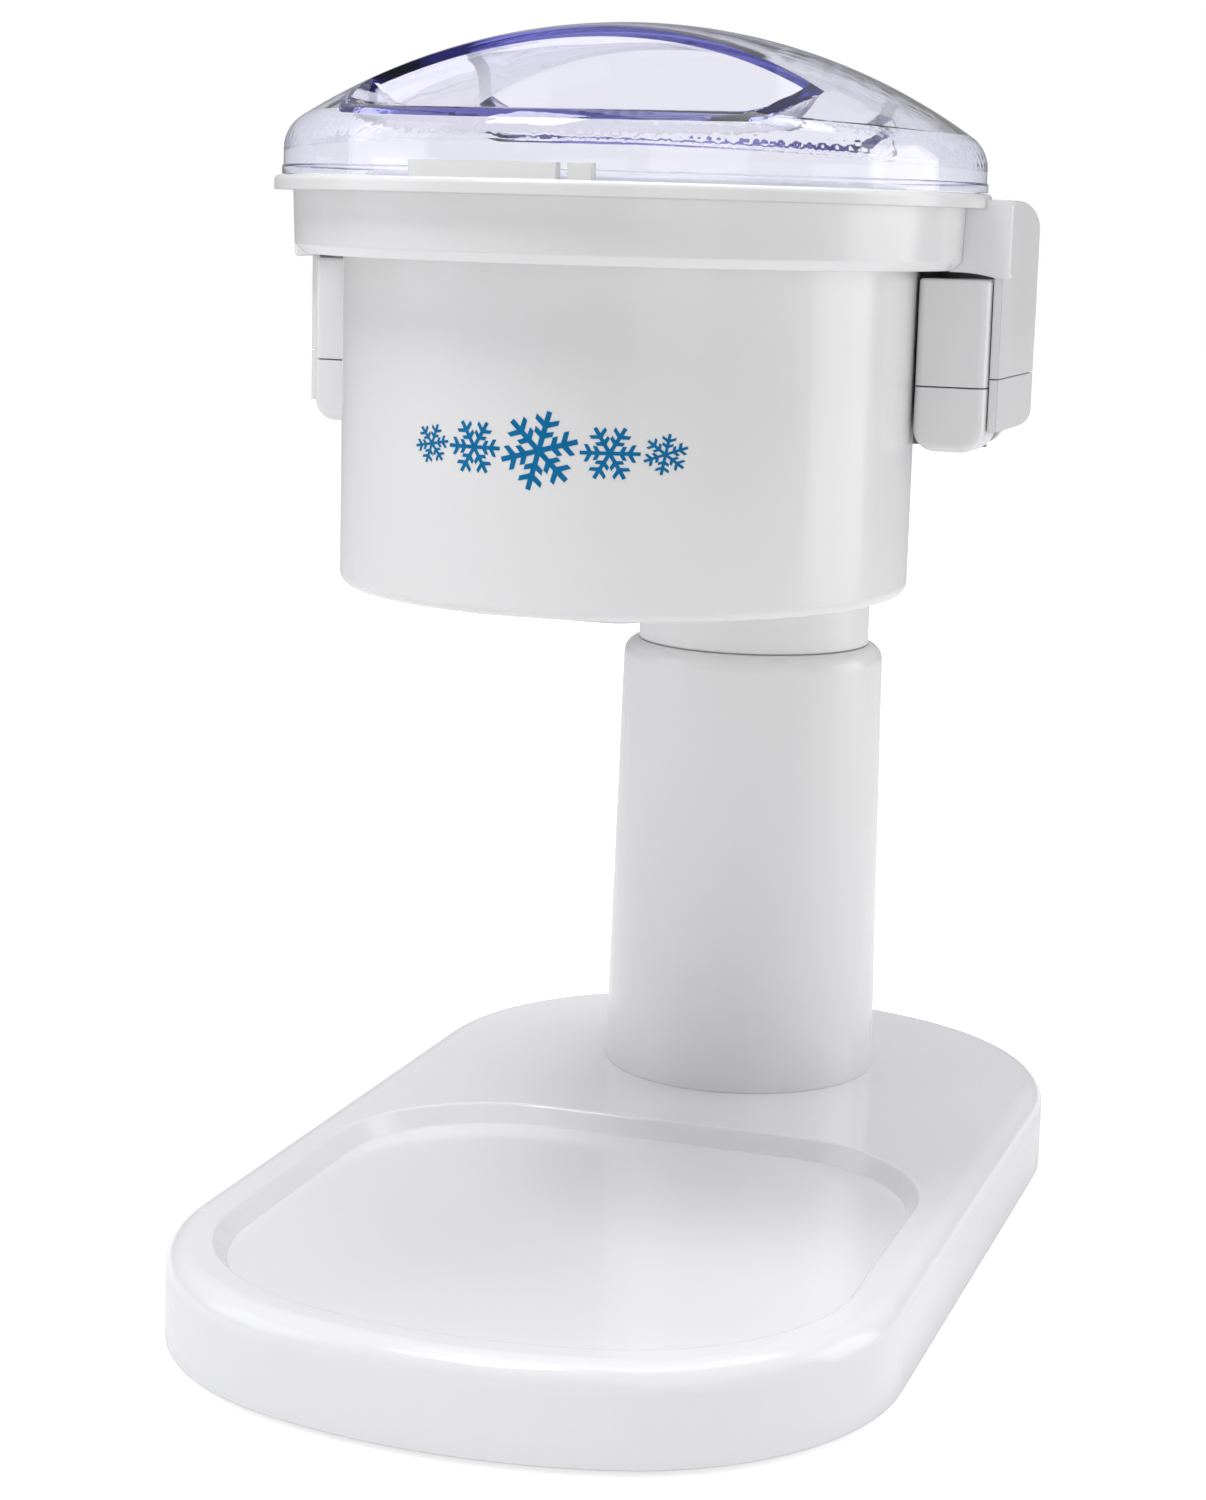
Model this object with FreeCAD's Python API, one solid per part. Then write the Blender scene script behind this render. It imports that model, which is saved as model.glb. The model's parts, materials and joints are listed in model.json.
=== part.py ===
import FreeCAD, Part
import math
import os

# Counter-top shaved ice machine. A flat base carries a round column, and the column carries a
# pear-shaped head: a drum, a wider collar and a clear domed lid. A motor stands in the column and
# drives a spindle in the head through a toothed belt, and the spindle's paddle sweeps the ice over
# a blade. The shavings fall down a chute in front of the column, into a bowl on the base's tray.
#
# Millimetres, +Z up, -Y is the front. The origin is on the floor, in the middle of the base.

V = FreeCAD.Vector

# ---- driving dimensions -------------------------------------------------------------------------
FOOT_H = 2.0                      # how far the feet hold the base off the floor
BASE_W = 90.3                     # half width of the base
BASE_L = 163.0                    # half length of the base
BASE_TOP = 25.3
BASE_FRONT_R, BASE_FRONT_CORNER = 140.6, 69.6
BASE_REAR_R, BASE_REAR_CORNER = 105.6, 78.4
BASE_EDGE_R = 6.0
WALL = 2.6                        # moulded wall thickness

TRAY_INSET = 11.5                 # rim left around the bowl tray
TRAY_REAR_Y = 17.5
TRAY_CORNER_R = 45.0
TRAY_FLOOR = 20.3
TRAY_SLOPE = 3.2                  # width of the tray's sloping edge

HEAD_Y = -36.0                    # vertical axis of the hopper, the spindle and the lid
COLUMN_Y = 87.5                   # vertical axis of the column and the motor
COLUMN_R_LOW, COLUMN_R_HIGH = 39.2, 37.1
COLUMN_TOP = 149.5
SHOULDER_R = 4.5
NECK_R = 32.9
SPIGOT_R = 32.2
SEAM = 0.3                        # gap that shows as a fine line between two mouldings

DRUM_Z0, DRUM_Z1 = 179.5, 258.0
DRUM_A, DRUM_B, DRUM_REAR_R = 69.0, 76.5, 36.0
COLLAR_A, COLLAR_B, COLLAR_REAR_R = 80.2, 90.0, 41.0
COLLAR_CHAMFER = 2.2
COLLAR_FLARE = 0.4
LEDGE_T = 6.5                     # floor of the collar, which sits on the drum's wall
FLANGE_A, FLANGE_B, FLANGE_REAR_R = 85.2, 94.6, 45.6
FLANGE_Z0, FLANGE_Z1 = 272.6, 276.0

LID_A, LID_B = 84.0, 88.0
LID_Z0 = FLANGE_Z1 + 0.3
LID_TOP = 314.0
LID_WALL = 2.2
DOME_R = 141.0                    # the dome's curve from side to side
DOME_EDGE_R = 9.0
# The dome's level sections are ovals, a little longer front to back near the rim than at the top.
DOME_RATIO_EDGE, DOME_RATIO_TOP, DOME_RATIO_FADE = 1.15, 1.08, 30.0
SCOOP_Y = 28.6                    # finger scoops start this far in front of and behind the axis
SCOOP_BOW_R = 137.0               # radius of a scoop's back wall in plan
SCOOP_W = 54.5
SCOOP_Z = 293.0
SCOOP_CORNER_R = 10.0
SCOOP_SLOPE = 2.0                 # degrees that a scoop's floor falls towards the lid's edge
SCOOP_BLEND = 2.5                 # height over which a scoop's floor rounds off into the dome
SCOOP_LIFT = 0.12                 # how steeply the floor's surface then parts from the dome's

HOPPER_R = 59.0
HOPPER_WALL = 2.2
PLATE_Z0, PLATE_Z1 = 219.5, 222.0           # blade plate under the hopper
BLADE_R0, BLADE_R1 = 22.0, 56.0             # radial reach of the blade and its slot
CHUTE_X = 20.0
CHUTE_Y0, CHUTE_Y1 = -94.0, -58.5
CHUTE_Z0 = 177.5
CHUTE_WALL, CHUTE_CORNER_R = 1.8, 5.0

SPINDLE_R = 5.0
SHAFT_R = 3.0
RUNNING = 0.05                    # radial clearance of a shaft in its bore
BEARING_R, BEARING_H = 9.0, 6.0
TOOTH_PITCH = 5.0
SPINDLE_TEETH, MOTOR_TEETH = 21, 10
BELT_Z0, BELT_Z1 = 193.0, 200.0
BELT_T = 1.4
MOTOR_R = 27.0
MOTOR_Z0, MOTOR_Z1 = 90.0, 171.0
BRACKET_TOP = MOTOR_Z1 + 3.0      # top of the plate that the motor hangs from

LATCH_X, LATCH_Z = 79.0, 220.5    # pivot line of a side latch, along Y
LATCH_NOSE_X0, LATCH_NOSE_X1 = 69.4, 86.5
LATCH_NOSE_Y0, LATCH_NOSE_Y1 = -30.9, -15.0
LATCH_BOTTOM, LATCH_NOSE_TOP = 215.0, 256.0
LATCH_NOSE_LOW_R, LATCH_NOSE_FRONT_R, LATCH_NOSE_TOP_R = 5.5, 2.0, 0.8
LATCH_NOSE_SEAM, LATCH_PLATE_SEAM = 230.5, 232.6
LATCH_PLATE_X0, LATCH_PLATE_X1 = 86.8, 88.9
LATCH_PLATE_Y0, LATCH_PLATE_Y1 = -26.6, 19.0
LATCH_PLATE_BOTTOM, LATCH_PLATE_TOP = 220.0, 274.7
LATCH_PLATE_TOP_ROUND = (31.0, 7.0)         # depth and height of the rounded upper rear corner
LATCH_PLATE_LOW_ROUND = (16.0, 3.0)
LATCH_PIN_Y0, LATCH_PIN_Y1 = -26.7, 8.8
LATCH_CLEAR_R = 37.2              # clears the nose's swing
PIN_R = 2.0


# ---- helpers ------------------------------------------------------------------------------------
def box(x0, x1, y0, y1, z0, z1):
    return Part.makeBox(x1 - x0, y1 - y0, z1 - z0, V(x0, y0, z0))


def rod(r, x, y, z0, z1):
    return Part.makeCylinder(r, z1 - z0, V(x, y, z0))


def tube(r_out, r_in, x, y, z0, z1):
    return rod(r_out, x, y, z0, z1).cut(rod(r_in, x, y, z0, z1))


def rod_y(r, x, z, y0, y1):
    return Part.makeCylinder(r, y1 - y0, V(x, y0, z), V(0, 1, 0))


def arc(cx, cy, r, start, end):
    """Arc in the XY plane about (cx, cy), from one angle to another, in radians."""
    points = [V(cx + r * math.cos(t), cy + r * math.sin(t), 0) for t in (start, (start + end) / 2, end)]
    return Part.Arc(*points).toShape()


def line(p, q):
    return Part.LineSegment(p, q).toShape()


def at_height(wire, z):
    moved = wire.copy()
    moved.translate(V(0, 0, z))
    return moved


def prism(wire, z0, z1):
    return Part.Face(at_height(wire, z0)).extrude(V(0, 0, z1 - z0))


def loft(sections):
    """Solid through (wire, height) sections with straight sides between them."""
    return Part.makeLoft([at_height(wire, z) for wire, z in sections], True, True)


def level_edges(shape, z):
    """Edges that lie flat at one height."""
    return [e for e in shape.Edges if abs(e.BoundBox.ZMin - z) < 1e-4 and abs(e.BoundBox.ZMax - z) < 1e-4]


def upright_edges(shape):
    return [e for e in shape.Edges if e.BoundBox.XLength < 1e-4 and e.BoundBox.YLength < 1e-4]


def polar(cx, cy, r, angle):
    return cx + r * math.cos(angle), cy + r * math.sin(angle)


def mirror_x(shape):
    return shape.mirror(V(0, 0, 0), V(1, 0, 0))


def group(shapes):
    return Part.makeCompound(shapes)


def save(name, shape):
    shape.exportStep(os.path.join("parts", name + ".step"))


# ---- outlines -----------------------------------------------------------------------------------
def bowed_end(half_width, end, bow_r, corner_r, inset):
    """Right corner and bowed end of the base's outline: centres and the angle where the arcs meet."""
    bow_y = abs(end) - bow_r
    corner_x = half_width - corner_r
    corner_y = bow_y + math.sqrt((bow_r - corner_r) ** 2 - corner_x ** 2)
    meet = math.atan2(corner_y - bow_y, corner_x)
    return bow_y, corner_x, corner_y, meet, bow_r - inset, corner_r - inset


def front_edges(inset):
    """Left corner, bowed front and right corner, as far back as the straight sides begin."""
    bow_y, cx, cy, meet, bow_r, corner_r = bowed_end(
        BASE_W, BASE_L, BASE_FRONT_R, BASE_FRONT_CORNER, inset)
    edges = [
        arc(-cx, -cy, corner_r, math.pi, math.pi + meet),
        arc(0, -bow_y, bow_r, math.pi + meet, 2 * math.pi - meet),
        arc(cx, -cy, corner_r, 2 * math.pi - meet, 2 * math.pi)]
    return edges, cy


def base_outline(inset=0.0):
    edges, front_y = front_edges(inset)
    bow_y, cx, cy, meet, bow_r, corner_r = bowed_end(
        BASE_W, BASE_L, BASE_REAR_R, BASE_REAR_CORNER, inset)
    w = BASE_W - inset
    edges += [
        line(V(w, -front_y, 0), V(w, cy, 0)),
        arc(cx, cy, corner_r, 0, meet),
        arc(0, bow_y, bow_r, meet, math.pi - meet),
        arc(-cx, cy, corner_r, math.pi - meet, math.pi),
        line(V(-w, cy, 0), V(-w, -front_y, 0))]
    return Part.Wire(edges)


def tray_outline(inset=0.0):
    edges, front_y = front_edges(TRAY_INSET + inset)
    w = BASE_W - TRAY_INSET - inset
    r = TRAY_CORNER_R - inset
    rear = TRAY_REAR_Y - inset
    cx, cy = w - r, rear - r
    edges += [
        line(V(w, -front_y, 0), V(w, cy, 0)),
        arc(cx, cy, r, 0, math.pi / 2),
        line(V(cx, rear, 0), V(-cx, rear, 0)),
        arc(-cx, cy, r, math.pi / 2, math.pi),
        line(V(-w, cy, 0), V(-w, -front_y, 0))]
    return Part.Wire(edges)


def tangent_angle(a, b, r):
    """Direction of the side line that touches the front ellipse and the rear circle."""
    low, high = 0.0, math.pi / 2
    for _ in range(60):
        mid = (low + high) / 2
        reach = math.hypot(a * math.cos(mid), b * math.sin(mid)) - r - (COLUMN_Y - HEAD_Y) * math.sin(mid)
        low, high = (mid, high) if reach > 0 else (low, mid)
    return low


def pear(a, b, r):
    """The head's plan: half an ellipse in front, two straight sides and a circle about the column."""
    phi = tangent_angle(a, b, r)
    h = math.hypot(a * math.cos(phi), b * math.sin(phi))
    ex, ey = a * a * math.cos(phi) / h, b * b * math.sin(phi) / h
    cx, cy = r * math.cos(phi), COLUMN_Y + r * math.sin(phi)
    ellipse = Part.Ellipse(V(0, HEAD_Y - b, 0), V(a, HEAD_Y, 0), V(0, HEAD_Y, 0))
    end = math.atan2(ex / a, -ey / b)
    edges = [
        Part.ArcOfEllipse(ellipse, -end, end).toShape(),
        line(V(ex, HEAD_Y + ey, 0), V(cx, cy, 0)),
        arc(0, COLUMN_Y, r, phi, math.pi - phi),
        line(V(-cx, cy, 0), V(-ex, HEAD_Y + ey, 0))]
    return Part.Wire(edges)


def oval(a, b):
    """Ellipse about the head's axis."""
    return Part.Wire([Part.Ellipse(V(0, HEAD_Y - b, 0), V(a, HEAD_Y, 0), V(0, HEAD_Y, 0)).toShape()])


def belt_outline(extra):
    """Loop round both pulleys, at a distance outside their pitch circles."""
    r1, r2 = pitch_radius(SPINDLE_TEETH) + extra, pitch_radius(MOTOR_TEETH) + extra
    phi = math.asin((r1 - r2) / (COLUMN_Y - HEAD_Y))
    front = polar(0, HEAD_Y, r1, phi)
    rear = polar(0, COLUMN_Y, r2, phi)
    return Part.Wire([
        arc(0, HEAD_Y, r1, math.pi - phi, 2 * math.pi + phi),
        line(V(front[0], front[1], 0), V(rear[0], rear[1], 0)),
        arc(0, COLUMN_Y, r2, phi, math.pi - phi),
        line(V(-rear[0], rear[1], 0), V(-front[0], front[1], 0))])


def rounded_rectangle(x0, x1, y0, y1, z0, z1, r):
    block = box(x0, x1, y0, y1, z0, z1)
    return block.makeFillet(r, upright_edges(block))


# ---- base ---------------------------------------------------------------------------------------
BOSSES = [(-66, -98), (66, -98), (-76, 40), (76, 40), (-44, 128), (44, 128)]
FEET = {"foot_front_left": (-52, -122), "foot_front_right": (52, -122),
        "foot_rear_left": (-60, 112), "foot_rear_right": (60, 112)}
BOSS_R, SCREW_R, SCREW_HEAD_R, SCREW_HEAD_H = 4.5, 1.5, 3.0, 1.6
FOOT_R, FOOT_STEM_R, FOOT_EDGE_R = 9.0, 4.0, 0.8
FOOT_CAP_R, FOOT_CAP_T = 5.2, 1.5
TRAY_EDGE_R = 1.2
BASE_SCREW_L = 12.0
COLUMN_SCREWS = [math.radians(a) for a in (45, 135, 225, 315)]
COLUMN_SCREW_RING = 31.5
COVER_T = 2.4
COVER_SLOT_HALF_L, COVER_SLOT_HALF_W, COVER_SLOT_R, COVER_SLOT_STEP = 18.0, 1.5, 1.4, 8.0
CAVITY_TOP = TRAY_FLOOR - WALL
GLAND_Z, GLAND_R, GLAND_BORE_R, GLAND_FLANGE_R = 11.0, 5.0, 3.3, 6.5
GLAND_Y0, GLAND_Y1 = BASE_L - 9.5, BASE_L - 0.5
GLAND_SEAT_Y0, GLAND_SEAT_Y1 = BASE_L - 6.5, BASE_L - 1.4       # between its two flanges
COLUMN_HOLE_R = 26.0


def make_base_shell():
    shell = prism(base_outline(), FOOT_H, BASE_TOP)
    shell = shell.makeFillet(BASE_EDGE_R, level_edges(shell, BASE_TOP))
    shell = shell.cut(prism(base_outline(WALL), FOOT_H, CAVITY_TOP))
    tray = loft([(tray_outline(), BASE_TOP), (tray_outline(TRAY_SLOPE), TRAY_FLOOR)])
    shell = shell.cut(tray)
    tray_edge = [e for e in level_edges(shell, BASE_TOP) if e.BoundBox.YMax < TRAY_REAR_Y + 1]
    shell = shell.makeFillet(TRAY_EDGE_R, tray_edge)
    shell = shell.cut(rod(COLUMN_HOLE_R, 0, COLUMN_Y, CAVITY_TOP, BASE_TOP))
    for x, y in BOSSES:
        boss = rod(BOSS_R, x, y, FOOT_H + COVER_T, CAVITY_TOP)
        shell = shell.fuse(boss).cut(rod(SCREW_R, x, y, FOOT_H + COVER_T, CAVITY_TOP - 2))
    for angle in COLUMN_SCREWS:
        x, y = polar(0, COLUMN_Y, COLUMN_SCREW_RING, angle)
        shell = shell.cut(rod(SCREW_R, x, y, CAVITY_TOP, BASE_TOP))
    shell = shell.cut(rod_y(GLAND_R, 0, GLAND_Z, 2 * GLAND_Y0 - BASE_L, BASE_L))
    shell = shell.cut(rod_y(GLAND_FLANGE_R, 0, GLAND_Z, GLAND_SEAT_Y1, BASE_L))
    return shell.removeSplitter()


def make_bottom_cover():
    cover = prism(base_outline(WALL + SEAM), FOOT_H, FOOT_H + COVER_T)
    for x, y in BOSSES:
        cover = cover.cut(rod(SCREW_R, x, y, FOOT_H, FOOT_H + COVER_T))
        cover = cover.cut(rod(SCREW_HEAD_R, x, y, FOOT_H, FOOT_H + SCREW_HEAD_H))
    for x, y in FEET.values():
        cover = cover.cut(rod(FOOT_STEM_R, x, y, FOOT_H, FOOT_H + COVER_T))
    x, half, top = COVER_SLOT_HALF_L, COVER_SLOT_HALF_W, FOOT_H + COVER_T
    for row in (-2, -1, 0, 1, 2):
        y = COLUMN_Y + COVER_SLOT_STEP * row
        cover = cover.cut(rounded_rectangle(-x, x, y - half, y + half, FOOT_H, top, COVER_SLOT_R))
    return cover


def screw_up(x, y, z_head, length):
    """Pan-head screw pointing up, head at the bottom."""
    return rod(SCREW_HEAD_R, x, y, z_head, z_head + SCREW_HEAD_H).fuse(
        rod(SCREW_R, x, y, z_head + SCREW_HEAD_H, z_head + length))


def screw_down(x, y, z_head, length):
    """Pan-head screw pointing down, head at the top."""
    return rod(SCREW_HEAD_R, x, y, z_head - SCREW_HEAD_H, z_head).fuse(
        rod(SCREW_R, x, y, z_head - length, z_head - SCREW_HEAD_H))


def make_foot(x, y):
    pad = rod(FOOT_R, x, y, 0, FOOT_H)
    pad = pad.makeFillet(FOOT_EDGE_R, level_edges(pad, 0))
    cap = rod(FOOT_CAP_R, x, y, FOOT_H + COVER_T, FOOT_H + COVER_T + FOOT_CAP_T)
    return pad.fuse(rod(FOOT_STEM_R, x, y, FOOT_H, FOOT_H + COVER_T)).fuse(cap)


def make_gland():
    body = rod_y(GLAND_R, 0, GLAND_Z, GLAND_Y0, GLAND_SEAT_Y1)
    flange = rod_y(GLAND_FLANGE_R, 0, GLAND_Z, GLAND_SEAT_Y1, GLAND_Y1)
    back = rod_y(GLAND_FLANGE_R, 0, GLAND_Z, GLAND_Y0, GLAND_SEAT_Y0)
    bore = rod_y(GLAND_BORE_R, 0, GLAND_Z, GLAND_Y0, GLAND_Y1)
    return body.fuse(flange).fuse(back).cut(bore)


# ---- column and neck ----------------------------------------------------------------------------
SPIGOT_Z0 = 136.0
COLUMN_LIP_Z = 140.0
VENTS, VENT_Z, VENT_STEP, VENT_H, VENT_W = 6, 52.0, 7.0, 2.6, 13.0
COLUMN_FLOOR_Z = BASE_TOP + 3.0
COLUMN_BOSS_R, COLUMN_BOSS_TOP, COLUMN_SCREW_TOP = 3.6, BASE_TOP + 14, BASE_TOP + 12
COLUMN_SCREW_L = 20.0
NECK_SCREW_RING, NECK_SCREW_L = 25.0, 12.0
NECK_FLANGE_BORE_R = 20.0


def make_column():
    shoulder_z = COLUMN_TOP - SHOULDER_R
    inner_low, inner_high = COLUMN_R_LOW - WALL, COLUMN_R_HIGH - WALL
    mid = SHOULDER_R * math.sin(math.pi / 4)
    top_r = COLUMN_R_HIGH - SHOULDER_R
    lip_r = SPIGOT_R + SEAM
    outline = Part.Wire([
        line(V(COLUMN_HOLE_R, 0, BASE_TOP), V(COLUMN_R_LOW, 0, BASE_TOP)),
        line(V(COLUMN_R_LOW, 0, BASE_TOP), V(COLUMN_R_HIGH, 0, shoulder_z)),
        Part.Arc(V(COLUMN_R_HIGH, 0, shoulder_z), V(top_r + mid, 0, shoulder_z + mid),
                 V(top_r, 0, COLUMN_TOP)).toShape(),
        line(V(top_r, 0, COLUMN_TOP), V(lip_r, 0, COLUMN_TOP - 0.1)),
        line(V(lip_r, 0, COLUMN_TOP - 0.1), V(lip_r, 0, COLUMN_LIP_Z)),
        line(V(lip_r, 0, COLUMN_LIP_Z), V(inner_high, 0, COLUMN_LIP_Z - 2)),
        line(V(inner_high, 0, COLUMN_LIP_Z - 2), V(inner_low, 0, COLUMN_FLOOR_Z)),
        line(V(inner_low, 0, COLUMN_FLOOR_Z), V(COLUMN_HOLE_R, 0, COLUMN_FLOOR_Z)),
        line(V(COLUMN_HOLE_R, 0, COLUMN_FLOOR_Z), V(COLUMN_HOLE_R, 0, BASE_TOP))])
    column = Part.Face(outline).revolve(V(0, 0, 0), V(0, 0, 1), 360)
    column.translate(V(0, COLUMN_Y, 0))
    for angle in COLUMN_SCREWS:
        x, y = polar(0, COLUMN_Y, COLUMN_SCREW_RING, angle)
        column = column.fuse(rod(COLUMN_BOSS_R, x, y, COLUMN_FLOOR_Z, COLUMN_BOSS_TOP))
        column = column.cut(rod(SCREW_R, x, y, BASE_TOP, COLUMN_SCREW_TOP))
    for row in range(VENTS):
        z = VENT_Z + VENT_STEP * row
        column = column.cut(box(-VENT_W, VENT_W, COLUMN_Y, COLUMN_Y + 2 * COLUMN_R_LOW, z, z + VENT_H))
    return column.removeSplitter()


def make_neck():
    inner = SPIGOT_R - WALL
    neck = tube(NECK_R, inner, 0, COLUMN_Y, COLUMN_TOP + SEAM, DRUM_Z0)
    neck = neck.fuse(tube(SPIGOT_R, inner, 0, COLUMN_Y, SPIGOT_Z0, COLUMN_TOP + SEAM))
    flange = tube(inner, NECK_FLANGE_BORE_R, 0, COLUMN_Y, BRACKET_TOP, DRUM_Z0)
    neck = neck.fuse(flange)
    for angle in COLUMN_SCREWS:
        x, y = polar(0, COLUMN_Y, NECK_SCREW_RING, angle)
        neck = neck.cut(rod(SCREW_R, x, y, BRACKET_TOP, DRUM_Z0))
    return neck.removeSplitter()


# ---- motor --------------------------------------------------------------------------------------
STATOR_R, STATOR_BORE_R, ARMATURE_R = MOTOR_R - 2, 18.0, 17.0
STACK_Z0, STACK_Z1 = 108.0, 150.0
MOTOR_BEARING_R = 8.0
MOTOR_HOLE_R = 6.0
LOWER_BEARING_Z, UPPER_BEARING_Z = MOTOR_Z0 + 3, MOTOR_Z1 - 9
MOTOR_SCREW_RING, MOTOR_SCREW_L = 16.0, 7.0
MOTOR_CASE_T = 3.0                # thickness of the motor's top and end cap
BRACKET_BORE_R = 12.0
ARMATURE_SLOTS, ARMATURE_SLOT_R, COMMUTATOR_R = 12, 1.6, 9.0


def bearing_seat(z):
    """Ring that holds one motor bearing."""
    return tube(MOTOR_BEARING_R + 3, MOTOR_BEARING_R, 0, COLUMN_Y, z, z + BEARING_H)


def make_motor_can():
    can = tube(MOTOR_R, STATOR_R, 0, COLUMN_Y, MOTOR_Z0 + MOTOR_CASE_T, MOTOR_Z1 - MOTOR_CASE_T)
    top = tube(MOTOR_R, MOTOR_HOLE_R, 0, COLUMN_Y, MOTOR_Z1 - MOTOR_CASE_T, MOTOR_Z1)
    can = can.fuse(top).fuse(bearing_seat(UPPER_BEARING_Z))
    for angle in COLUMN_SCREWS[:2]:
        x, y = polar(0, COLUMN_Y, MOTOR_SCREW_RING, angle)
        can = can.cut(rod(SCREW_R, x, y, MOTOR_Z1 - MOTOR_CASE_T, MOTOR_Z1))
    return can.removeSplitter()


def make_motor_end_cap():
    return tube(MOTOR_R, MOTOR_HOLE_R, 0, COLUMN_Y, MOTOR_Z0, MOTOR_Z0 + MOTOR_CASE_T).fuse(
        bearing_seat(LOWER_BEARING_Z)).removeSplitter()


def make_motor_bearing(z):
    return tube(MOTOR_BEARING_R, SHAFT_R + RUNNING, 0, COLUMN_Y, z, z + BEARING_H)


def make_motor_stator():
    return tube(STATOR_R, STATOR_BORE_R, 0, COLUMN_Y, STACK_Z0, STACK_Z1)


def make_motor_rotor():
    """Slotted armature, commutator and the shaft that carries the small pulley."""
    armature = rod(ARMATURE_R, 0, COLUMN_Y, STACK_Z0 + 1, STACK_Z1 - 1)
    for slot in range(ARMATURE_SLOTS):
        x, y = polar(0, COLUMN_Y, ARMATURE_R, 2 * math.pi * slot / ARMATURE_SLOTS)
        armature = armature.cut(rod(ARMATURE_SLOT_R, x, y, STACK_Z0, STACK_Z1))
    commutator = rod(COMMUTATOR_R, 0, COLUMN_Y, STACK_Z0 - 6, STACK_Z0 + 1)
    shaft = rod(SHAFT_R, 0, COLUMN_Y, MOTOR_Z0 + 1, BELT_Z1 + 5)
    return armature.fuse(commutator).fuse(shaft).removeSplitter()


def make_motor_bracket():
    bracket = tube(SPIGOT_R - WALL, BRACKET_BORE_R, 0, COLUMN_Y, MOTOR_Z1, BRACKET_TOP)
    for angle in COLUMN_SCREWS:
        x, y = polar(0, COLUMN_Y, NECK_SCREW_RING, angle)
        bracket = bracket.cut(rod(SCREW_R, x, y, MOTOR_Z1, BRACKET_TOP))
    for angle in COLUMN_SCREWS[:2]:
        x, y = polar(0, COLUMN_Y, MOTOR_SCREW_RING, angle)
        bracket = bracket.cut(rod(SCREW_R, x, y, MOTOR_Z1, BRACKET_TOP))
    return bracket


# ---- belt drive ---------------------------------------------------------------------------------
PULLEY_GAP, PULLEY_FLANGE_T, PULLEY_FLANGE_RISE, TOOTH_GAP_R = 0.5, 1.0, 2.4, 1.1
BELT_CLEARANCE = 0.3


def pitch_radius(teeth):
    return teeth * TOOTH_PITCH / (2 * math.pi)


def make_pulley(teeth, y, bore):
    """Toothed pulley with a flange above and below the belt."""
    r = pitch_radius(teeth)
    z0, z1 = BELT_Z0 - PULLEY_GAP, BELT_Z1 + PULLEY_GAP
    wheel = rod(r, 0, y, z0, z1)
    for tooth in range(teeth):
        px, py = polar(0, y, r, 2 * math.pi * tooth / teeth)
        wheel = wheel.cut(rod(TOOTH_GAP_R, px, py, z0, z1))
    for low in (z0 - PULLEY_FLANGE_T, z1):
        wheel = wheel.fuse(rod(r + PULLEY_FLANGE_RISE, 0, y, low, low + PULLEY_FLANGE_T))
    return wheel.cut(rod(bore, 0, y, BELT_Z0 - 2, BELT_Z1 + 2)).removeSplitter()


def make_belt():
    return prism(belt_outline(BELT_CLEARANCE + BELT_T), BELT_Z0, BELT_Z1).cut(
        prism(belt_outline(BELT_CLEARANCE), BELT_Z0, BELT_Z1))


SPINDLE_Z0, SPINDLE_SHOULDER, SPINDLE_Z1 = 184.0, 223.0, 242.0
STUD_R = 4.0
CARRIER_R, CARRIER_FLANGE_R = 12.0, 19.0
CARRIER_Z0 = 204.0
CARRIER_BEARING_Z = 207.0
CARRIER_FLANGE_Z = PLATE_Z0 - 3.0
CARRIER_SCREW_RING, CARRIER_SCREW_L = 15.5, 6.6


def make_spindle():
    return rod(SPINDLE_R, 0, HEAD_Y, SPINDLE_Z0, SPINDLE_SHOULDER).fuse(
        rod(STUD_R, 0, HEAD_Y, SPINDLE_SHOULDER, SPINDLE_Z1)).removeSplitter()


def make_spindle_bearing(z):
    return tube(BEARING_R, SPINDLE_R + RUNNING, 0, HEAD_Y, z, z + BEARING_H)


def make_bearing_carrier():
    """Housing under the blade plate that holds the spindle's upper bearing."""
    body = rod(CARRIER_R, 0, HEAD_Y, CARRIER_Z0, PLATE_Z0)
    body = body.fuse(rod(CARRIER_FLANGE_R, 0, HEAD_Y, CARRIER_FLANGE_Z, PLATE_Z0))
    body = body.cut(rod(SPINDLE_R + 1, 0, HEAD_Y, CARRIER_Z0, PLATE_Z0))
    body = body.cut(rod(BEARING_R, 0, HEAD_Y, CARRIER_BEARING_Z, CARRIER_BEARING_Z + BEARING_H))
    for angle in COLUMN_SCREWS:
        x, y = polar(0, HEAD_Y, CARRIER_SCREW_RING, angle)
        body = body.cut(rod(SCREW_R, x, y, CARRIER_FLANGE_Z, PLATE_Z0))
    return body.removeSplitter()


# ---- blade, paddle and hopper -------------------------------------------------------------------
BLADE_X0, BLADE_X1, BLADE_T, BLADE_BEVEL = 1.5, 15.0, 0.7, 2.0
BLADE_SCREW_R, BLADE_SCREW_HEAD_R = 1.2, 2.2
SLOT_X0 = -3.5
PADDLE_Z0, PADDLE_Z1 = 223.4, 246.0
PADDLE_HUB_R, PADDLE_TIP_R, PADDLE_T = 9.0, 57.0, 3.0
HUB_Z1 = 236.0
NUT_R, NUT_H = 7.5, 5.0
HOPPER_RIM_W, HOPPER_RIM_T, HOPPER_RIM_EDGE_R = 4.0, 1.6, 0.7


def blade_screw_spots():
    x = (BLADE_X0 + BLADE_X1) / 2 + 1
    return [(x, HEAD_Y - BLADE_R0 - 5), (x, HEAD_Y - BLADE_R1 + 5)]


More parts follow.
